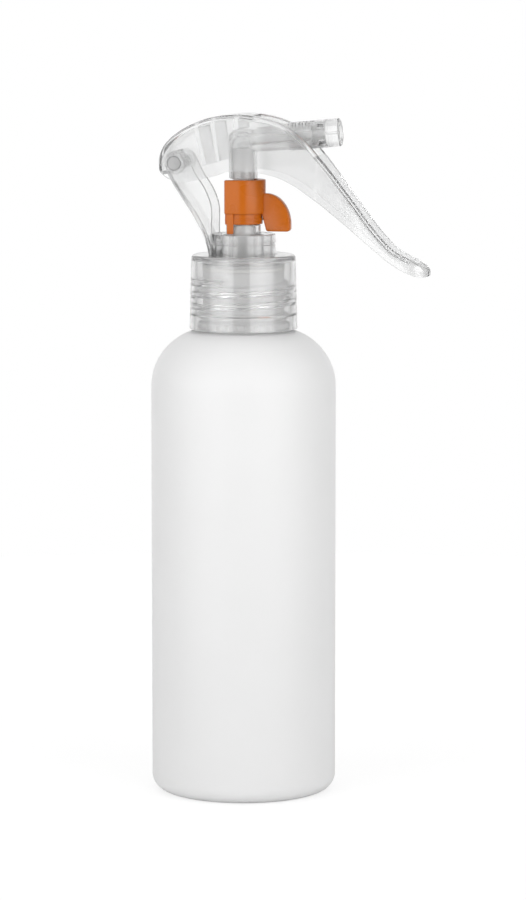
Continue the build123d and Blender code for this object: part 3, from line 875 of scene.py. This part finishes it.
@dataclass
class Lever:
    """The clear lever: an upside-down channel that narrows to a finger end."""

    pivot: tuple[float, float]
    tip: float
    half: float = 7.7
    tip_half: float = 4.8
    wall: float = 1.2
    bend: float = 1.0
    slot_half: float = 4.6
    slot_rear: float = 3.6
    slot_front: float = 24.5
    rear_overhang: float = 4.7
    rear_round: float = 2.6
    toe: float = 4.5
    hole: float = 1.93
    rows: int = 220

    def half_width(self, x: np.ndarray) -> np.ndarray:
        """Half of the width at x: wide over the pump, a smooth fall to the finger end, round at both ends.

        Args:
            x: places along the lever, in mm.

        Returns:
            An array of the shape of x, in mm.
        """
        width = self.half - (self.half - self.tip_half) * smooth_step(x, 5.0, 32.0)
        rear = self.pivot[0] - self.rear_overhang + self.rear_round
        into = np.clip(rear - x, 0, self.rear_round - 0.05)
        width = width - self.rear_round + np.sqrt(self.rear_round**2 - into**2)
        past = np.clip(x - (self.tip - self.tip_half), 0, self.tip_half - 0.04)
        return width - self.tip_half + np.sqrt(self.tip_half**2 - past**2)

    def loft(self, name: str, wall: float, last: float) -> Piece:
        """A closed body between the top line and the side walls' lower line.

        The first parameter runs along the lever. The second runs up one side, round a corner, across the
        web and down the other side. The sideways place is a share of the half width at that point's own x.
        A wall above 0 gives the channel's inside: the top line moves inwards by it, the sides too, and the
        lower line goes 3 mm down.

        Args:
            name: the object's name.
            wall: how far inside the outer surface it lies, in mm.
            last: x where it ends.

        Returns:
            The new object.
        """
        lines = spline([
            (-21.55, 166.9, -20.9, 165.3), (-21.5, 169.1, -19.0, 163.9), (-20.3, 171.7, -17.4, 163.25),
            (-18.2, 174.2, -15.2, 162.75), (-15.1, 176.5, -12.6, 162.9), (-11.6, 178.3, -9.8, 163.5),
            (-7.4, 179.75, -6.5, 164.6), (-3.0, 180.45, -3.0, 165.4), (4.4, 180.25, 3.6, 165.7),
            (8.0, 179.5, 7.0, 165.2), (11.2, 178.4, 10.2, 164.4), (16.6, 174.9, 15.2, 162.0),
            (21.0, 170.2, 19.7, 158.8), (29.3, 159.55, 27.6, 152.5), (37.6, 148.95, 36.0, 145.4),
            (41.3, 145.35, 40.2, 142.1), (45.6, 143.1, 44.7, 139.6), (48.6, 141.6, 48.2, 138.45),
            (self.tip - 0.15, 140.2, self.tip - 0.4, 138.6)], self.rows)
        lines = lines[lines[:, 0] < last]
        top, low = lines[:, :2], lines[:, 2:]
        if wall > 0:
            way = np.gradient(top, axis=0)
            inward = np.stack([way[:, 1], -way[:, 0]], axis=1) / np.linalg.norm(way, axis=1)[:, None]
            down = (low - top) / np.linalg.norm(low - top, axis=1)[:, None]
            top, low = top + wall * inward, low + 3.0 * down
        top, low = top[:, None, :], low[:, None, :]
        depth = np.linalg.norm(top - low, axis=-1)
        turn = np.minimum(max(self.bend - 0.5 * wall, 0.3), 0.45 * depth)
        bent = np.linspace(0, math.pi / 2, 7)[None, :]
        up = np.linspace(1, 0, 12)[None, :-1]
        corner_part = turn / depth
        rising = corner_part + (1 - corner_part) * up
        share = np.concatenate([rising, corner_part * (1 - np.sin(bent))], axis=1)
        inset = np.concatenate([np.zeros((len(lines), 11)), turn * (1 - np.cos(bent))], axis=1)
        line = top + (low - top) * share[..., None]
        width = self.half_width(line[..., 0] + wall * (line[..., :1, 0] > 20)) - wall
        side_y = width - np.minimum(inset, 0.8 * width)
        web_y = side_y[:, -1:] * np.linspace(-1, 1, 23)[None, 1:-1]
        across = np.concatenate([-side_y, web_y, side_y[:, ::-1]], axis=1)
        web_line = np.broadcast_to(top, (len(lines), web_y.shape[1], 2))
        place = np.concatenate([line, web_line, line[:, ::-1]], axis=1)
        return capped(name, np.stack([place[..., 0], across, place[..., 1]], axis=-1))

    def skin(self) -> Piece:
        """The outer body less the inner one, less the slot that the spout comes through.

        Returns:
            The hollow moulding without its ribs.
        """
        outer = self.loft("lever_moulding", 0.0, self.tip)
        inner = self.loft("inside", self.wall, self.tip - self.toe)
        slot = prism("slot", rounded([
            (self.slot_rear, 186, 0), (self.slot_rear, 176.0, 0.4), (14.0, 169.6, 0.4), (20.4, 169.6, 0.4),
            (self.slot_front, 172.0, 0.4), (self.slot_front, 186, 0)]), self.slot_half)
        return combine(outer, [inner, slot], "DIFFERENCE", 30.0)

    def ribs(self) -> list[Piece]:
        """The two cross ribs behind the stem, and the rib that pushes the spout.

        Returns:
            The three ribs.
        """
        half = self.half - self.wall + 0.35
        rear = np.array([(-11.9, 177.9), (-10.8, 178.2), (-8.4, 167.4), (-9.4, 167.2)])
        front = np.array([(-7.4, 179.2), (-6.3, 179.4), (-4.8, 168.5), (-5.8, 168.3)])
        push = rounded([(-1.1, 179.9, 0), (-1.3, 176.6, 0.6), (0.3, 176.6, 0.6), (0.1, 179.9, 0)], steps=6)
        return [prism(name, outline, half)
                for name, outline in (("rear_rib", rear), ("front_rib", front), ("push_rib", push))]

    def build(self) -> Piece:
        """The channel with its ribs, and the pin's hole through both side walls.

        Returns:
            The lever.
        """
        obj = combine(self.skin(), self.ribs(), "UNION")
        combine(obj, [drill(self.hole, self.pivot)], "DIFFERENCE")
        return dress(obj, "clear_pp", Body.LEVER, "trigger_lever", finish="clear_lever")


@dataclass
class Clip:
    """The orange lock clip."""

    top: float
    low: float = 151.6
    radius: float = 5.9
    skirt: float = 5.1
    bore: float = 4.0
    rear: float = -3.9
    step: float = 154.4
    tab_half: float = 1.3
    foot_half: float = 0.35
    foot_at: float = 5.15

    def horseshoe(self, name: str, radius: float, low: float, top: float, bevel: float) -> Piece:
        """A round collar whose ends run straight back.

        In plan the outline is half a circle of the outer radius, a straight leg on each side, and the
        bore's half circle. It is carried from low to top, and its rims are softened.

        Args:
            name: the object's name.
            radius: the collar's outer radius.
            low: its lowest height.
            top: its highest height.
            bevel: how far each rim is rounded, in mm.

        Returns:
            The new object.
        """
        outer, inner = arc((0, 0), radius, -90, 90, 40), arc((0, 0), self.bore, 90, -90, 32)
        ends = rounded([(0, radius, 0), (self.rear, radius, 0.5), (self.rear, self.bore, 0.3),
                        (0, self.bore, 0)], closed=False)
        plan = np.concatenate([outer, ends[1:-1], inner, (ends * [1, -1])[::-1][1:-1]])
        height = np.broadcast_to(np.array([low, top]), (len(plan), 2))
        x, y = np.repeat(plan[:, :1], 2, axis=1), np.repeat(plan[:, 1:], 2, axis=1)
        return slab(name, np.stack([x, y, height], axis=-1), bevel)

    def build(self) -> Piece:
        """Collar, lip, skirt, feet and thumb tab joined into one moulding.

        Returns:
            The clip.
        """
        collar = self.horseshoe("lock_clip_moulding", self.radius, self.step, self.top, 0.25)
        skirt = self.horseshoe("skirt", self.skirt, self.low, self.step + 0.6, 0.15)
        band = self.horseshoe("band", self.skirt + 0.18, self.low + 1.0, self.low + 1.5, 0.08)
        lean = np.radians(np.linspace(6, 90, 26))
        crown = np.stack([6.2 + 6.6 * np.sin(lean), 151.6 + 8.1 * np.cos(lean)], axis=1)
        tab = prism("tab", np.concatenate([
            [[5.0, 155.0], [5.0, 159.7], [6.2, 159.7]], crown,
            arc((11.9, 150.6), 0.9, 0, -90, 7), arc((7.0, 150.5), 0.8, -90, -180, 7)]), self.tab_half, 0.4)
        foot = rounded([(-3.2, 149.15, 0.3), (-1.5, 149.15, 0.3), (-1.5, 155.4, 0), (-3.2, 155.4, 0)])
        feet = [prism("foot", foot, self.foot_half, 0.0, side * self.foot_at) for side in (-1, 1)]
        obj = combine(collar, [skirt, band, tab, *feet], "UNION")
        return dress(obj, "orange_pp", Body.CLIP, "lock_clip")


@dataclass
class Spout:
    """The clear elbow and tube, the nozzle, and the stem that carries them."""

    socket: float
    low: float
    top: float = 176.5
    axis_height: float = 173.5
    tilt: float = 5.5
    stem: float = 2.75
    stem_top: float = 171.5
    dome: float = 3.3
    tube_start: float = 3.15
    tube_end: float = 3.5
    tube_length: float = 12.8
    spigot: float = 3.0
    spigot_end: float = 22.6
    nozzle: float = 3.7
    nozzle_bore: float = 3.04
    nozzle_end: float = 26.3
    grip_end: float = 19.5
    grip_depth: float = 0.16
    grip_pitch: float = 0.9
    stem_bore: float = 1.6
    seat_bore: float = 1.2
    seat_depth: float = 2.0
    passage: float = 1.1
    throat: float = 2.25
    window_at: float = 21.6
    columns: int = 96

    @property
    def axis(self) -> Vector:
        """The way the spout points."""
        return Vector((math.cos(math.radians(self.tilt)), 0, math.sin(math.radians(self.tilt))))

    def on_axis(self, name: str, outline: np.ndarray, closed: bool = True,
                swell: np.ndarray | None = None) -> Piece:
        """A shape turned about the spout's own axis, which starts over the stem."""
        return turned(name, outline, self.columns, closed, (0, 0, self.axis_height), self.axis, swell)

    def build_elbow(self) -> Piece:
        """A round socket with a flat, chamfered head, the tube that leaves it, and the passages inside.

        Returns:
            The elbow and tube.
        """
        head = turned("spout_moulding", rounded([
            (0, self.low + 0.02, 0), (self.socket, self.low, 0.25), (self.socket, self.top - 1.5, 0.5),
            (self.socket - 1.45, self.top, 0.35), (0, self.top, 0)], closed=False, steps=6),
            self.columns, closed=False)
        tube = self.on_axis("tube", rounded([
            (0, 0.6, 0), (self.tube_start - 0.1, 0.6, 0.4), (self.tube_end, self.tube_length, 0.2),
            (self.spigot, self.tube_length, 0.1), (self.spigot, self.spigot_end, 0.2),
            (0, self.spigot_end, 0)], closed=False, steps=6), closed=False)
        trim = prism("trim", np.array([(-6.0, self.top), (4.0, self.top), (4.0, 186.0), (-6.0, 186.0)]), 8.0)
        dome = [(self.stem * math.cos(a), self.stem_top + 0.4 + self.dome * math.sin(a))
                for a in np.linspace(0, math.pi / 2, 12)]
        loose, under = self.stem + 0.02, self.low - 2
        bore = turned("bore", np.array([(0, under), (loose, under), (loose, self.stem_top), *dome], float),
                      72, closed=False)
        step, beyond = self.spigot_end - 4.0, self.spigot_end + 2
        passage = self.on_axis("passage", np.array([
            (0, 0.8), (self.passage, 0.8), (self.passage, step), (self.throat, step + 0.1),
            (self.throat, beyond), (0, beyond)], float), closed=False)
        gate = turned("gate", rounded([
            (0, 2.5, 0), (0.45, 2.5, 0), (0.42, 3.55, 0.2), (0, 3.6, 0)], closed=False),
            24, closed=False, centre=(8.9, 0, 173.4), along=Vector((0, -1, 0)))
        obj = combine(head, [tube, gate], "UNION")
        combine(obj, [trim, bore, passage], "DIFFERENCE")
        return dress(obj, "clear_pp", Body.SPOUT, "spout", finish="clear_spout")

    def window(self, lean: float) -> Piece:
        """A small box that cuts a window in the nozzle's side, lean degrees round from the near side.

        Args:
            lean: how far round the nozzle it stands, in degrees.

        Returns:
            The box.
        """
        obj = prism("window", np.array([(-0.8, 3.0), (0.8, 3.0), (0.8, 4.5), (-0.8, 4.5)]), 0.55)
        turn = Matrix.Rotation(math.radians(90 + lean), 4, "X")
        tilt = Matrix.Rotation(-math.radians(self.tilt), 4, "Y")
        place = Matrix.Translation((Vector((0, 0, self.axis_height)) + self.axis * self.window_at) * MM)
        obj.data.transform(place @ tilt @ turn)
        return obj

    def build_nozzle(self) -> Piece:
        """The nozzle: a sleeve with a front wall, a dished face and four small side windows.

        Inside, its radius carries a fine cosine wave, the rings that grip the spigot.

        Returns:
            The nozzle.
        """
        start, front = self.tube_length + 0.05, self.spigot_end + 0.2
        bore, face = self.nozzle_bore, self.nozzle_end
        outline = dense(rounded([
            (self.nozzle, start, 0.2), (self.nozzle, face, 0.45), (2.3, face, 0.15), (1.5, face - 0.6, 0.1),
            (0.25, face - 0.6, 0.05), (0.25, front, 0.05), (bore, front, 0.15), (bore, start, 0.15)]), 0.2)
        radius, height = outline[:, :1], outline[:, 1:]
        inside = (np.abs(radius - bore) < 0.02) & (height > start + 0.5) & (height < self.grip_end)
        wave = 0.5 - 0.5 * np.cos(2 * math.pi * (height - start) / self.grip_pitch)
        grip = self.grip_depth * inside * wave
        obj = self.on_axis("nozzle_moulding", outline, swell=np.repeat(grip, self.columns, axis=1))
        combine(obj, [self.window(lean) for lean in (-38, 38, 142, 218)], "DIFFERENCE")
        return dress(obj, "clear_pp", Body.SPOUT, "nozzle_cap")

    def build_insert(self) -> Piece:
        """The fluted plug: a radius plus a wave that makes twelve steps round it, closed at both ends.

        Returns:
            The insert.
        """
        start, end = self.spigot_end - 3.6, self.spigot_end + 0.1
        outline = rounded([(0, start, 0), (1.8, start, 0.15), (1.8, end, 0.15), (0, end, 0)], closed=False)
        wave = np.cos(6 * (np.arange(self.columns) * 2 * math.pi / self.columns)[None, :])
        flutes = 0.3 * np.sign(wave) * np.abs(wave)**0.4
        obj = self.on_axis("insert_moulding", outline, False, flutes * (outline[:, :1] > 0.5))
        return dress(obj, "natural_pe", Body.SPOUT, "swirl_insert")

    def build_stem(self) -> Piece:
        """The hollow stem, necked near its top as a valve seat.

        Returns:
            The stem.
        """
        low = lowest("upper_stem", Z)
        obj = turned("stem_tube", rounded([
            (self.stem, low, 0.15), (self.stem, self.stem_top, 0.2), (self.seat_bore, self.stem_top, 0.15),
            (self.seat_bore, self.stem_top - self.seat_depth, 0.1),
            (self.stem_bore, self.stem_top - self.seat_depth, 0.1), (self.stem_bore, low, 0.1)]),
            self.columns)
        # The finish is a lighter copy of the natural polyethylene: painted light against the shade inside the
        # socket.
        return dress(obj, "natural_pe", Body.SPOUT, "upper_stem", finish="milky_stem_painted_light")


@dataclass
class PumpInside:
    """What sits round and under the stem: guide, spring and the other hidden pieces."""

    guide_top: float
    stem_bore: float = 2.83
    wire: float = 0.275
    coils: int = 8

    def build_guide(self) -> Piece:
        """The clear guide: plug, disc, boss and the nose that shows over the turret."""
        obj = turned("guide_moulding", rounded([
            (6.5, 138.0, 0.2), (6.5, 141.05, 0.05), (7.2, 141.05, 0.15), (7.2, 143.0, 0.3), (5.4, 143.0, 0.3),
            (5.4, 148.9, 0.3), (4.6, 148.95, 0.15), (4.6, self.guide_top, 0.3),
            (self.stem_bore, self.guide_top, 0.2), (self.stem_bore, 141.1, 0.1), (5.3, 141.1, 0.1),
            (5.3, 138.0, 0.1)]), 128)
        return dress(obj, "clear_pp", Body.HEAD, "stem_guide", finish="clear_spout")

    def build_spring(self) -> Piece:
        """The return spring: a circle of wire carried up a helix, eight turns between its two seats.

        Returns:
            The spring.
        """
        low, high = lowest("return_spring", Z), highest("return_spring", Z)
        mean = highest("return_spring", X) - self.wire
        turn = np.linspace(0, 2 * math.pi * self.coils, 321)[:, None]
        round_wire = np.linspace(0, 2 * math.pi, 13)[None, :-1]
        reach = mean + self.wire * np.cos(round_wire)
        climb = (low + self.wire) + (high - low - 2 * self.wire) * turn / turn[-1]
        height = climb + self.wire * np.sin(round_wire)
        points = np.stack([reach * np.cos(turn), reach * np.sin(turn), height], axis=-1)
        obj = dress(capped("return_spring_wire", points), "stainless_wire", Body.HEAD, "return_spring")
        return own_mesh(obj)

    def dress_kept(self) -> None:
        """Gives each CAD piece that no new piece replaces its finish."""
        slots = {part["node"]: part["material_slot"] for part in frame["record"]["subparts"]}
        for name, obj in frame["nodes"].items():
            if name not in REPLACED:
                dress(obj, slots[name])
                log.info("kept %s", name)


# ------------------------------------------------------------------ studio

@dataclass
class Studio:
    """Pale floor, soft light and the camera."""

    azimuth: float = 13.0
    elevation: float = 7.2
    distance: float = 1.1
    lens: float = 165.4
    target: Point = (0.00503, 0.00116, 0.0913)
    room: tuple[tuple[float, float], ...] = (
        (-180, 1.0), (-150, 0.95), (-132, 0.30), (-82, 0.30), (-74, 2.2), (-25, 2.2), (-20, 0.16), (12, 0.16),
        (17, 2.3), (66, 2.3), (74, 0.30), (132, 0.30), (150, 0.95), (180, 1.0))
    ceiling: float = 0.7
    fade: tuple[float, float] = (0.35, 0.65)
    floor_radius: float = 420.0
    floor_grey: float = 0.86
    floor_glow: float = 1.2
    glow_share: float = 0.6
    middle: Point = (0, 0, 0.1)

    def floor(self) -> None:
        """A pale round floor, r times (cos a, sin a), lifted towards white where it is looked at directly."""
        angle, reach = np.arange(96) * math.pi / 48, np.linspace(0, self.floor_radius, 5)[:, None]
        points = np.stack([reach * np.cos(angle), reach * np.sin(angle), 0 * reach * angle], axis=-1)
        obj = mesh_object("floor", points, quads(5, 96, close_columns=True).reshape(-1, 4).tolist())
        if obj.data.polygons[0].normal.z < 0:
            obj.data.flip_normals()
        material = bpy.data.materials.new("pale_floor")
        material.use_nodes = True
        nodes, link = material.node_tree.nodes, material.node_tree.links.new
        shader = put(nodes["Principled BSDF"], {
            "Base Color": (self.floor_grey, self.floor_grey, self.floor_grey, 1), "Roughness": 0.9,
            "Specular IOR Level": 0.1})
        glow, seen, share, both = (nodes.new(kind) for kind in (
            "ShaderNodeEmission", "ShaderNodeLightPath", "ShaderNodeMath", "ShaderNodeMixShader"))
        put(glow, {"Strength": self.floor_glow})
        share.operation = "MULTIPLY"
        put(share, {1: self.glow_share})
        link(seen.outputs["Is Camera Ray"], share.inputs[0])
        link(share.outputs[0], both.inputs["Fac"])
        link(shader.outputs["BSDF"], both.inputs[1])
        link(glow.outputs["Emission"], both.inputs[2])
        link(both.outputs["Shader"], nodes["Material Output"].inputs["Surface"])
        obj.data.materials.append(material)

    def sky(self) -> None:
        """The room's light by direction: bright panels left and right of a gap, dimmer flanks, white behind.

        The angle round the vertical, counted from the front and negative to the left, goes through a ramp
        of soft steps. High up everything fades to the ceiling's white. What the camera sees directly is
        plain white.
        """
        world = bpy.data.worlds.new("studio_room")
        world.use_nodes = True
        nodes, link = world.node_tree.nodes, world.node_tree.links.new
        place, parts = nodes.new("ShaderNodeTexCoord"), nodes.new("ShaderNodeSeparateXYZ")
        turn = put(nodes.new("ShaderNodeMapping"), {"Rotation": (0, 0, -math.radians(self.azimuth))})
        link(place.outputs["Generated"], turn.inputs["Vector"])
        link(turn.outputs["Vector"], parts.inputs["Vector"])
        forward, round_angle, share = (nodes.new("ShaderNodeMath") for _ in range(3))
        forward.operation, round_angle.operation, share.operation = "MULTIPLY", "ARCTAN2", "MULTIPLY_ADD"
        put(forward, {1: -1.0})
        link(parts.outputs["Y"], forward.inputs[0])
        link(parts.outputs["X"], round_angle.inputs[0])
        link(forward.outputs[0], round_angle.inputs[1])
        put(share, {1: 0.5 / math.pi, 2: 0.5})
        link(round_angle.outputs[0], share.inputs[0])
        ramp = nodes.new("ShaderNodeValToRGB")
        ramp.color_ramp.interpolation = "LINEAR"
        while len(ramp.color_ramp.elements) < len(self.room):
            ramp.color_ramp.elements.new(0.5)
        for element, (degrees, level) in zip(ramp.color_ramp.elements, self.room):
            element.position = 0.5 + degrees / 360
            element.color = (level, level, level, 1)
        link(share.outputs[0], ramp.inputs["Fac"])
        ceiling = put(nodes.new("ShaderNodeMapRange"), {"From Min": self.fade[0], "From Max": self.fade[1]})
        ceiling.interpolation_type = "SMOOTHSTEP"
        link(parts.outputs["Z"], ceiling.inputs["Value"])
        high, plain = nodes.new("ShaderNodeMix"), nodes.new("ShaderNodeMix")
        high.data_type = plain.data_type = "RGBA"
        put(high, {"B": (self.ceiling, self.ceiling, self.ceiling, 1)})
        link(ceiling.outputs["Result"], high.inputs["Factor"])
        link(ramp.outputs["Color"], high.inputs["A"])
        seen = nodes.new("ShaderNodeLightPath")
        put(plain, {"B": (1, 1, 1, 1)})
        link(seen.outputs["Is Camera Ray"], plain.inputs["Factor"])
        link(high.outputs["Result"], plain.inputs["A"])
        link(plain.outputs["Result"], nodes["Background"].inputs["Color"])
        bpy.context.scene.world = world

    def lamp(self, name: str, place: Point, size: tuple[float, float], power: float) -> None:
        """A soft rectangular light aimed at the middle of the object.

        Args:
            name: the light's name.
            place: where it stands, in metres.
            size: its width and height, in metres.
            power: its power, in watts.
        """
        data = bpy.data.lights.new(name, "AREA")
        data.shape = "RECTANGLE"
        data.size, data.size_y = size
        data.energy = power
        obj = bpy.data.objects.new(name, data)
        bpy.context.scene.collection.objects.link(obj)
        obj.location = place
        obj.rotation_euler = (Vector(self.middle) - Vector(place)).to_track_quat("-Z", "Y").to_euler()

    def camera(self) -> None:
        """The camera, turned about the object from straight in front."""
        a, e = math.radians(self.azimuth), math.radians(self.elevation)
        back = Vector((math.sin(a) * math.cos(e), -math.cos(a) * math.cos(e), math.sin(e)))
        data = bpy.data.cameras.new("camera")
        data.lens = self.lens
        data.sensor_width = 36.0
        data.sensor_fit = "AUTO"
        data.clip_start, data.clip_end = 0.01, 20.0
        obj = bpy.data.objects.new("camera", data)
        bpy.context.scene.collection.objects.link(obj)
        obj.location = Vector(self.target) + back * self.distance
        obj.rotation_euler = (-back).to_track_quat("-Z", "Y").to_euler()
        bpy.context.scene.camera = obj

    def build(self) -> None:
        """Everything round the object."""
        self.floor()
        self.sky()
        self.lamp("soft_left", (-0.45, -0.85, 0.35), (0.35, 0.9), 0.5)
        self.lamp("soft_right", (0.78, -0.60, 0.35), (0.35, 0.9), 0.5)
        self.lamp("soft_top", (0.0, -0.1, 1.1), (0.9, 0.9), 1.0)
        self.camera()
        bpy.context.scene.view_settings.view_transform = "Standard"


def main() -> None:
    """Builds the studio, then the bottle from the base up."""
    logging.basicConfig(level=logging.INFO, format="%(name)s: %(message)s")
    Studio().build()
    pivot = tuple((lowest("pivot_pin", axis) + highest("pivot_pin", axis)) / 2 for axis in (X, Z))
    cap = "screw_closure"
    bracket = Bracket(pivot=pivot, flange=highest("pump_bracket", Y), flange_low=lowest("pump_bracket", Z))
    spout = Spout(socket=highest("spout", Y), low=lowest("spout", Z))
    inside = PumpInside(guide_top=highest("stem_guide", Z))
    made = [
        Bottle(radius=highest("bottle", X), lip=highest("bottle", Z)).build(),
        Closure(bottom=highest(cap, X), low=lowest(cap, Z), top=highest(cap, Z)).build(),
        bracket.build(),
        bracket.build_pin(),
        Lever(pivot=pivot, tip=highest("trigger_lever", X)).build(),
        Clip(top=highest("lock_clip", Z)).build(),
        spout.build_elbow(),
        spout.build_nozzle(),
        spout.build_insert(),
        spout.build_stem(),
        inside.build_guide(),
        inside.build_spring(),
    ]
    for obj in made:
        log.info("%s: %d faces", obj.name, len(obj.data.polygons))
    inside.dress_kept()


if __name__ == "__main__":
    main()
